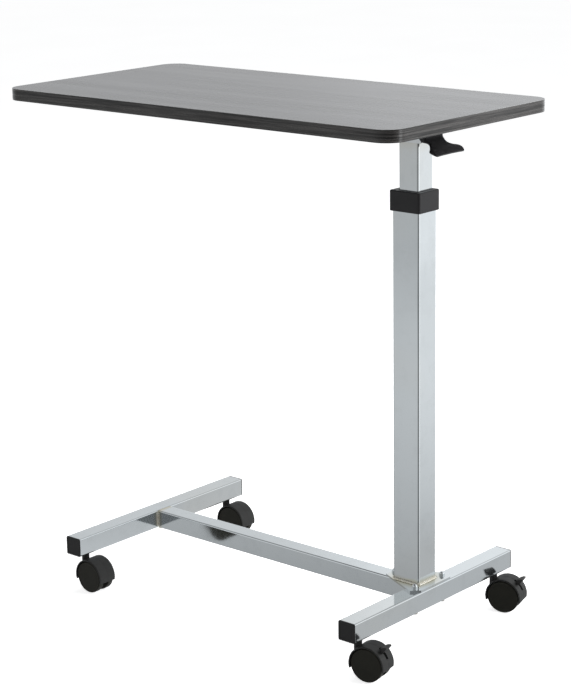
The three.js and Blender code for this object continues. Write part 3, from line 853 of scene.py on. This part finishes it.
def sheet_section(half, thick):
    """The outline of a plate seen end on, with half-round sides, in millimetres."""
    across = 12
    round_steps = 6
    points = []
    inner = half - thick
    for step in range(across + 1):
        points.append((inner - 2 * inner * step / across, thick))
    for step in range(1, round_steps):
        angle = math.radians(90 + 180 * step / round_steps)
        points.append((-inner + thick * math.cos(angle), thick * math.sin(angle)))
    for step in range(across + 1):
        points.append((-inner + 2 * inner * step / across, -thick))
    for step in range(1, round_steps):
        angle = math.radians(-90 + 180 * step / round_steps)
        points.append((inner + thick * math.cos(angle), thick * math.sin(angle)))
    return points


def lever_carrier():
    """The cheeks, hub and arm behind the paddle, drawn about the pivot."""
    cheek_outline = arc(0, 0, 6, 90, 270, 16) + [(5.5, -12.3), (10.8, -12.8), (9.2, 3.3)]
    cheek_outline = [(x * MM, z * MM) for x, z in cheek_outline]
    inside = 19.7 * MM
    outside = 22 * MM
    bm = bmesh.new()
    prism(bm, cheek_outline, -outside, -inside, "Y")
    body = raw_object(bm)
    bm = bmesh.new()
    prism(bm, cheek_outline, inside, outside, "Y")
    boolean(body, raw_object(bm), "UNION")
    hub = work_rod(4.5 * MM, -6 * MM, 6 * MM, 40)
    boolean(hub, work_prism([(0, -4), (8, -4), (8, 2.5), (0, 2.5)], 16.5), "UNION")
    arm = [(-26, -3.6), (-25.2, -4.7), (0, -4.5), (0, 3.6), (-8, 1.5), (-25, 1.3), (-26, 0.4)]
    boolean(hub, work_prism(arm, 5.5), "UNION")
    bar = [(6.2, -7), (9.6, -7), (10.2, 3.2), (6.6, 3.2)]
    boolean(hub, work_prism(bar, 21), "UNION")
    boolean(body, hub, "UNION")
    finish_smooth(body, 0.5 * MM, 45)
    return body


def release_lever(plastic_material, pin_material):
    pivot = Matrix.Translation(Vector(JOINTS["lever_pivot"]["pos_m"]))
    paddle = lever_paddle()
    paddle.matrix_world = pivot
    settle(paddle, "lever", "black_plastic", plastic_material, "release_lever")
    carrier = lever_carrier()
    carrier.name = "lever_carrier"
    carrier.matrix_world = pivot
    settle(carrier, "lever", "black_plastic", plastic_material)
    low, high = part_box("lever_pin")
    half = (high.y - low.y) / 2
    radius = (high.x - low.x) / 2
    chamfer = 0.5 * MM
    profile = [
        (0, -half), (radius - chamfer, -half), (radius, -half + chamfer), (radius, half - chamfer),
        (radius - chamfer, half), (0, half),
    ]
    bm = bmesh.new()
    lathe(bm, profile, 32, "Y")
    pin = make_object("lever_pin_bar", bm, sharp=40)
    pin.matrix_world = pivot
    settle(pin, "lift", "bright_steel", pin_material, "lever_pin")


# ---- casters

HOOD_OUTER = 29 * MM
HOOD_INNER = 26.7 * MM
HOOD_HALF = 16.5 * MM
WEB_HALF = 4.6 * MM
HOOD_START = -10
HOOD_END = 196


def hood_cover():
    """The drum over both wheels: one section swept round the axle, drawn about the axle."""
    r1 = HOOD_OUTER
    r0 = HOOD_INNER
    w = HOOD_HALF
    f = 1.2 * MM
    section = [
        (-w, r0 + 0.3 * MM), (-w, r1 - f), (-w + f * 0.3, r1 - f * 0.3), (-w + f, r1),
        (-0.5 * MM, r1), (-0.25 * MM, r1 - 0.25 * MM), (0.25 * MM, r1 - 0.25 * MM), (0.5 * MM, r1),
        (w - f, r1), (w - f * 0.3, r1 - f * 0.3), (w, r1 - f), (w, r0 + 0.3 * MM), (w - 0.3 * MM, r0),
        (-w + 0.3 * MM, r0),
    ]
    rings = []
    stations = 72
    for step in range(stations + 1):
        angle = math.radians(HOOD_START + (HOOD_END - HOOD_START) * step / stations)
        rings.append([(r * math.cos(angle), y, r * math.sin(angle)) for y, r in section])
    bm = bmesh.new()
    loft(bm, rings)
    return raw_object(bm)


def hood_web(trail, axle_height):
    """The plate between the wheels and the neck the pintle turns in, drawn about the axle."""
    stem_room = 2.3
    top = (TUBE_UNDERSIDE - axle_height) / MM - stem_room
    outline = arc(0, 0, HOOD_INNER + 1 * MM, HOOD_START, HOOD_END, 64)
    bm = bmesh.new()
    prism(bm, outline, -WEB_HALF, WEB_HALF, "Y")
    web = raw_object(bm)
    bm = bmesh.new()
    profile = [
        (0, 6), (6.0, 6), (6.0, 26), (6.1, top - 1.3), (6.5, top - 0.7), (6.5, top - 0.4), (6.2, top),
        (0, top),
    ]
    lathe(bm, [(r * MM, h * MM) for r, h in profile], 48)
    bmesh.ops.translate(bm, verts=bm.verts, vec=(-trail, 0, 0))
    neck = raw_object(bm)
    for side in (-1, 1):
        start, end = sorted((side * WEB_HALF, side * (HOOD_HALF + 3 * MM)))
        boolean(neck, work_rod(HOOD_INNER, start, end, 96), "DIFFERENCE")
    boolean(web, neck, "UNION")
    return web


def brake_slot(pivot):
    """The pocket that the brake lever swings in."""
    centre = (pivot[0] / MM, pivot[1] / MM)
    outline = arc(centre[0], centre[1], 5.5, 90, 310, 20) + [(34, 11.5), (34, 34), (22, 34)]
    return work_prism(outline, 2.5)


def hood_mesh(trail, axle_height, brake_pivot=None):
    hood = hood_cover()
    boolean(hood, hood_web(trail, axle_height), "UNION")
    if brake_pivot:
        boolean(hood, brake_slot(brake_pivot), "DIFFERENCE")
    finish_smooth(hood, 0.3 * MM, 50)
    return hood


def wheel_mesh(wheel_r):
    """A moulded wheel, drawn about the axle with its plain face towards +Y."""
    inner = 5.2
    outer = 15.5
    edge = wheel_r / MM
    profile = [
        (0, outer - 1.6), (2.6, outer - 1.6), (2.6, inner), (5.8, inner), (6.2, inner + 0.4),
        (6.4, outer - 3.5), (19.0, outer - 3.5), (19.3, inner + 0.4), (19.7, inner), (edge - 0.9, inner),
        (edge - 0.3, inner + 0.25),
        (edge - 0.05, inner + 0.9), (edge, inner + 3), (edge, outer - 3), (edge - 0.08, outer - 1.4),
        (edge - 0.4, outer - 0.5), (edge - 1.0, outer - 0.08), (edge - 1.6, outer), (21.4, outer),
        (21.1, outer - 0.25), (20.6, outer - 0.25), (20.3, outer - 0.05), (8, outer - 0.2),
        (0, outer - 0.25),
    ]
    bm = bmesh.new()
    lathe(bm, [(r * MM, y * MM) for r, y in profile], 80, "Y")
    return make_object("wheel_source", bm, sharp=40)


def stem_mesh():
    """A hexagon flange under the tube, the spigot above it and the pintle below."""
    flat = 7.6 * MM
    top = TUBE_UNDERSIDE / MM
    levels = [(2.9, 30), (3, 30.2), (3, top - 2)]
    rings = [hex_ring(r * MM, r * MM, h * MM) for r, h in levels]
    for limit, height in ((7.4, top - 2), (8.0, top - 1.7), (8.0, top - 0.05)):
        rings.append(hex_ring(flat, limit * MM, height * MM))
    for radius, height in ((5, top - 0.05), (5, top + 22), (4, top + 24)):
        rings.append(hex_ring(radius * MM, radius * MM, height * MM))
    return lofted("stem_source", rings, 35)


def brake_mesh():
    """Thin arm, wide toe pad with grip ribs, drawn about the lever's pivot."""
    arm = arc(0, 0, 4, 135, 315, 14) + [(18, 9), (17, 15)]
    lever = work_prism(arm, 2.2)
    under = [(12.3, 14.3), (14.6, 12.0), (17.5, 10.1), (19.6, 12.2), (21.6, 14.9), (23.3, 17.2)]
    over = [(23.4, 18.5), (22.4, 19.2), (19.6, 19.0), (16.2, 17.8), (13.6, 16.2)]
    pad = smooth_curve([Vector(p) for p in under], 18) + smooth_curve([Vector(p) for p in over], 12)
    boolean(lever, work_prism([(p.x, p.y) for p in pad], 8), "UNION")
    for rib in range(3):
        ridge = arc(15.6 + 2.2 * rib, 17.3 + 0.66 * rib, 0.55, 0, 330, 11)
        boolean(lever, work_prism(ridge, 6.6), "UNION")
    boolean(lever, work_rod(1.5 * MM, -4.4 * MM, 4.4 * MM, 24), "UNION")
    finish_smooth(lever, 0.45 * MM, 50)
    return lever


def caster_frame(name):
    """The frame on the floor under a caster's stem, wheel on +X; its trail; its axle height."""
    swivel = Vector(JOINTS[f"swivel_{name}"]["pos_m"])
    spin = JOINTS[f"spin_{name}_a"]
    axle = Vector(spin["pos_m"])
    yaw = math.atan2(-spin["axis"][0], spin["axis"][1])
    place = Matrix.Translation((swivel.x, swivel.y, 0)) @ Matrix.Rotation(yaw, 4, "Z")
    trail = Vector((axle.x - swivel.x, axle.y - swivel.y)).length
    return place, trail, axle.z


def casters(hood_material, wheel_material, stem_material, axle_material):
    names = [f"{side}_{end}" for side in ("left", "right") for end in ("front", "back")]
    place, trail, height = caster_frame("right_front")
    pivot = place.inverted() @ Vector(JOINTS["brake_pedal_right_front"]["pos_m"])
    brake_pivot = (pivot.x - trail, pivot.z - height)
    plain_hood = hood_mesh(trail, height)
    brake_hood = hood_mesh(trail, height, brake_pivot)
    wheel = wheel_mesh(height)
    stem = stem_mesh()
    brake = brake_mesh()
    for name in names:
        place, trail, height = caster_frame(name)
        at_axle = place @ Matrix.Translation((trail, 0, height))
        source = brake_hood if name.startswith("right") else plain_hood
        hood = copy_object(source, f"hood_{name}_shell", at_axle)
        settle(hood, f"caster_{name}", "caster_plastic", hood_material, f"hood_{name}")
        for letter, turn in (("a", math.pi), ("b", 0)):
            node = f"wheel_{name}_{letter}"
            disc = copy_object(wheel, f"{node}_disc", at_axle @ Matrix.Rotation(turn, 4, "Z"))
            settle(disc, node, "wheel_plastic", wheel_material, node)
        post = copy_object(stem, f"stem_{name}_post", place)
        settle(post, "base", "dark_steel", stem_material, f"stem_{name}")
        dress(f"axle_{name}", axle_material, 0.3 * MM)
        if name.startswith("right"):
            pedal = copy_object(brake, f"brake_{name}_pedal", place @ Matrix.Translation(pivot))
            settle(pedal, f"brake_{name}", "caster_plastic", hood_material, f"brake_lever_{name}")
    for source in (plain_hood, brake_hood, wheel, stem, brake):
        bpy.data.objects.remove(source)


# ---- stage

def studio_glow(tree, direction):
    """What a mirror sees each way round the studio: pale behind the part, dark beside the camera."""
    parts = tree.split(direction)
    around = tree.math("ARCTAN2", parts["Y"], parts["X"])
    turn = tree.remap(around, -math.pi, math.pi, 0.0, 1.0)
    # (degrees round from +X, brightness)
    levels = (
        (-180, 0.50), (-136, 0.51), (-131, 0.56), (-127, 0.60), (-95, 0.45), (-65, 0.30), (-40, 0.22),
        (-10, 0.26), (8, 0.40), (14, 1.9), (24, 2.0), (32, 0.82), (49, 0.81), (90, 0.92), (122, 0.92),
        (128, 0.87), (130.5, 0.70), (140, 0.63), (160, 0.60), (180, 0.50),
    )
    stops = [((degrees + 180) / 360, (v * 0.98, v, v * 1.015)) for degrees, v in levels]
    return tree.ramp(turn, stops)


def studio_world():
    """White to the camera, soft grey light for matt surfaces, and the studio's glow for reflections."""
    tree = Tree("studio", bpy.data.worlds)
    bpy.context.scene.world = tree.material
    tree.nodes.clear()
    direction = tree.add("ShaderNodeTexCoord").outputs["Generated"]
    height = tree.split(direction)["Z"]
    levels = (
        (0.0, 1.4), (0.16, 1.4), (0.3, 1.0), (0.45, 1.0), (0.58, 0.9), (0.64, 0.55), (0.8, 0.55),
        (1.0, 0.7),
    )
    lift = tree.grey_ramp(height, levels)
    path = tree.add("ShaderNodeLightPath").outputs
    seen = tree.add("ShaderNodeBackground", {"Color": studio_glow(tree, direction), "Strength": lift})
    soft = tree.add("ShaderNodeBackground", {"Color": (0.97, 0.985, 1.0, 1), "Strength": 0.3})
    white = tree.add("ShaderNodeBackground", {"Color": (1, 1, 1, 1), "Strength": 1.0})
    inner = tree.mix_shaders(path["Is Glossy Ray"], soft, seen)
    outer = tree.mix_shaders(path["Is Camera Ray"], inner, white)
    tree.add("ShaderNodeOutputWorld", {"Surface": outer.outputs[0]})


def floor_paint_and_shade():
    """Almost white to the camera; in reflections it glows with the studio's light, with painted shade
    that dims it towards the part and far to the front, like a lit sweep.
    """
    tree = Tree("floor_paint_and_shade")
    path = tree.add("ShaderNodeLightPath").outputs
    tone = tree.remap(tree.noise(tree.position(), 2.0, 2.0), 0.3, 0.7, 0.86, 0.9)
    colour = tree.add("ShaderNodeCombineColor", {0: tone, 1: tone, 2: tone}).outputs[0]
    bright = tree.remap(path["Is Camera Ray"], 0.0, 1.0, 0.25, 0.72)
    tree.set(Base_Color=colour, Roughness=0.9, Specular_IOR_Level=0.0)
    tree.set(Emission_Color=(1, 1, 1, 1), Emission_Strength=bright)
    place = tree.add("ShaderNodeNewGeometry").outputs
    inputs = {0: place["Incoming"], "Scale": -1.0}
    onward = tree.add("ShaderNodeVectorMath", inputs, operation="SCALE").outputs[0]
    inputs = {0: place["Position"], 1: (0.3, 0.15, 0.0)}
    away = tree.add("ShaderNodeVectorMath", inputs, operation="DISTANCE").outputs["Value"]
    ramp_length = 4.0
    reach = tree.math("DIVIDE", away, ramp_length)
    levels = (
        (0.075, 0.63), (0.15, 0.80), (0.25, 0.93), (0.35, 1.0), (0.59, 1.0), (0.66, 1.12), (1.0, 1.12),
    )
    # painted shade: in reflections the floor darkens near the part and far to the front
    painted_shade_level = tree.grey_ramp(reach, levels)
    shade = tree.remap(tree.split(place["Position"])["Y"], -2.1, -1.6, 0.74, 1.0)
    painted_shade_level = tree.math("MULTIPLY", painted_shade_level, shade)
    # painted glow for reflections: the studio's light times the painted shade
    glow = tree.add("ShaderNodeEmission", {"Color": studio_glow(tree, onward), "Strength": painted_shade_level})
    mix = tree.mix_shaders(path["Is Glossy Ray"], tree.surface, glow)
    output = tree.nodes["Material Output"]
    tree.links.new(mix.outputs[0], output.inputs["Surface"])
    return tree.material


def floor():
    bm = bmesh.new()
    bmesh.ops.create_circle(bm, cap_ends=True, segments=96, radius=FLOOR_RADIUS)
    obj = link_mesh("floor", bm)
    obj.data.materials.append(floor_paint_and_shade())


def area_light(name, place, aim, size, power):
    data = bpy.data.lights.new(name, "AREA")
    data.shape = "DISK"
    data.size = size
    data.energy = power
    obj = bpy.data.objects.new(name, data)
    obj.location = place
    obj.rotation_euler = (Vector(aim) - Vector(place)).to_track_quat("-Z", "Y").to_euler()
    bpy.context.scene.collection.objects.link(obj)
    obj.visible_glossy = False


def lights():
    area_light("key", (2.6, 1.2, 1.9), (0.2, 0, 0.5), 1.6, 100)
    area_light("back", (-0.6, 2.6, 2.4), (0, 0, 0.6), 1.8, 40)
    area_light("fill", (-1.2, -2.6, 1.6), (0, 0, 0.4), 2.2, 7)


def camera():
    azimuth = math.radians(CAMERA_AZIMUTH)
    elevation = math.radians(CAMERA_ELEVATION)
    back = Vector((
        math.sin(azimuth) * math.cos(elevation),
        -math.cos(azimuth) * math.cos(elevation),
        math.sin(elevation),
    ))
    right = Vector((math.cos(azimuth), math.sin(azimuth), 0))
    up = back.cross(right)
    basis = Matrix((right, up, back)).transposed().to_4x4()
    data = bpy.data.cameras.new("camera")
    data.lens = CAMERA_LENS
    data.sensor_width = SENSOR_WIDTH
    data.clip_end = 100
    obj = bpy.data.objects.new("camera", data)
    bpy.context.scene.collection.objects.link(obj)
    spot = Vector(CAMERA_TARGET) + back * CAMERA_DISTANCE
    roll = Matrix.Rotation(-math.radians(CAMERA_ROLL), 4, "Z")
    obj.matrix_world = Matrix.Translation(spot) @ basis @ roll
    bpy.context.scene.camera = obj


# ---- assembly

def build():
    plate = chrome("chrome_plate")
    tube_low, tube_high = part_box("outer_tube")
    # painted warm reflections at the column's foot, the slide's top, the bar's ends and round the column
    # on the base plate
    column_plate = chrome("chrome_column", "Z", [(tube_low.z, 8 * MM, 0.55)])
    slide_plate = chrome("chrome_slide", "Z", [(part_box("inner_tube")[1].z, 40 * MM, 0.5)])
    low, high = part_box("cross_tube")
    bar_plate = chrome("chrome_bar", "X", [(low.x, 10 * MM, 0.8), (high.x, 10 * MM, 0.8)])
    black = plastic("black_moulding", (0.012, 0.0115, 0.0125), 0.42)
    cap_black = plastic("cap_moulding", (0.0085, 0.0082, 0.0085), 0.46)
    hood = plastic("caster_moulding", (0.018, 0.018, 0.0175), 0.5, 0.08)
    tread = plastic("wheel_moulding", (0.0090, 0.0085, 0.0042), 0.5, 0.05, 0.012, 0.28)
    column_foot = ((tube_low.x + tube_high.x) / 2, (tube_low.y + tube_high.y) / 2, tube_low.z)
    foot_plate = chrome("chrome_base_plate", warm_reflection_centre=column_foot)
    zinc = brushed("zinc_plate", (0.70, 0.72, 0.73), 0.34)
    bolt = brushed("bolt_steel", (0.56, 0.52, 0.46), 0.42)
    steel = brushed("drawn_steel", (0.58, 0.60, 0.62), 0.3)
    paint = painted("black_paint", (0.022, 0.022, 0.024))
    weld = weld_metal()

    box_tube("left_foot_tube", "Y", BASE_CORNER, plate)
    box_tube("right_foot_tube", "Y", BASE_CORNER, plate)
    box_tube("cross_tube", "X", BASE_CORNER, bar_plate)
    box_tube("outer_tube", "Z", COLUMN_CORNER, column_plate)
    inner_tube(slide_plate)
    for side in ("left", "right"):
        for end in ("front", "back"):
            end_cap(side, end, cap_black)
    dress("base_plate", foot_plate, 0.7 * MM)
    for index in (1, 2, 3):
        cap_nut(index, plate)
        base_bolt(index, bolt)
    column_weld(weld)
    junction_welds(weld)
    collar(black)

    hidden = {
        "spring_seat": steel, "gas_spring_cylinder": paint, "gas_spring_guide": black,
        "gas_spring_piston": black, "gas_spring_rod": steel, "rod_mount_plate": steel,
        "rod_lock_nut": zinc, "release_pin": steel, "glide_bush": black,
    }
    for node, material in hidden.items():
        dress(node, material, 0.2 * MM)
    dress("top_channel", plate, 0.5 * MM)
    screw = screw_mesh()
    for side in ("left", "right"):
        dress(f"support_strap_{side}", paint, 0.4 * MM)
        for end in ("front", "back"):
            top_screw(side, end, screw, zinc)
    bpy.data.objects.remove(screw)
    tabletop(laminate(), edge_grain())
    release_lever(black, steel)
    casters(hood, tread, paint, steel)


build()
studio_world()
floor()
lights()
camera()
bpy.context.scene.view_settings.view_transform = "Standard"
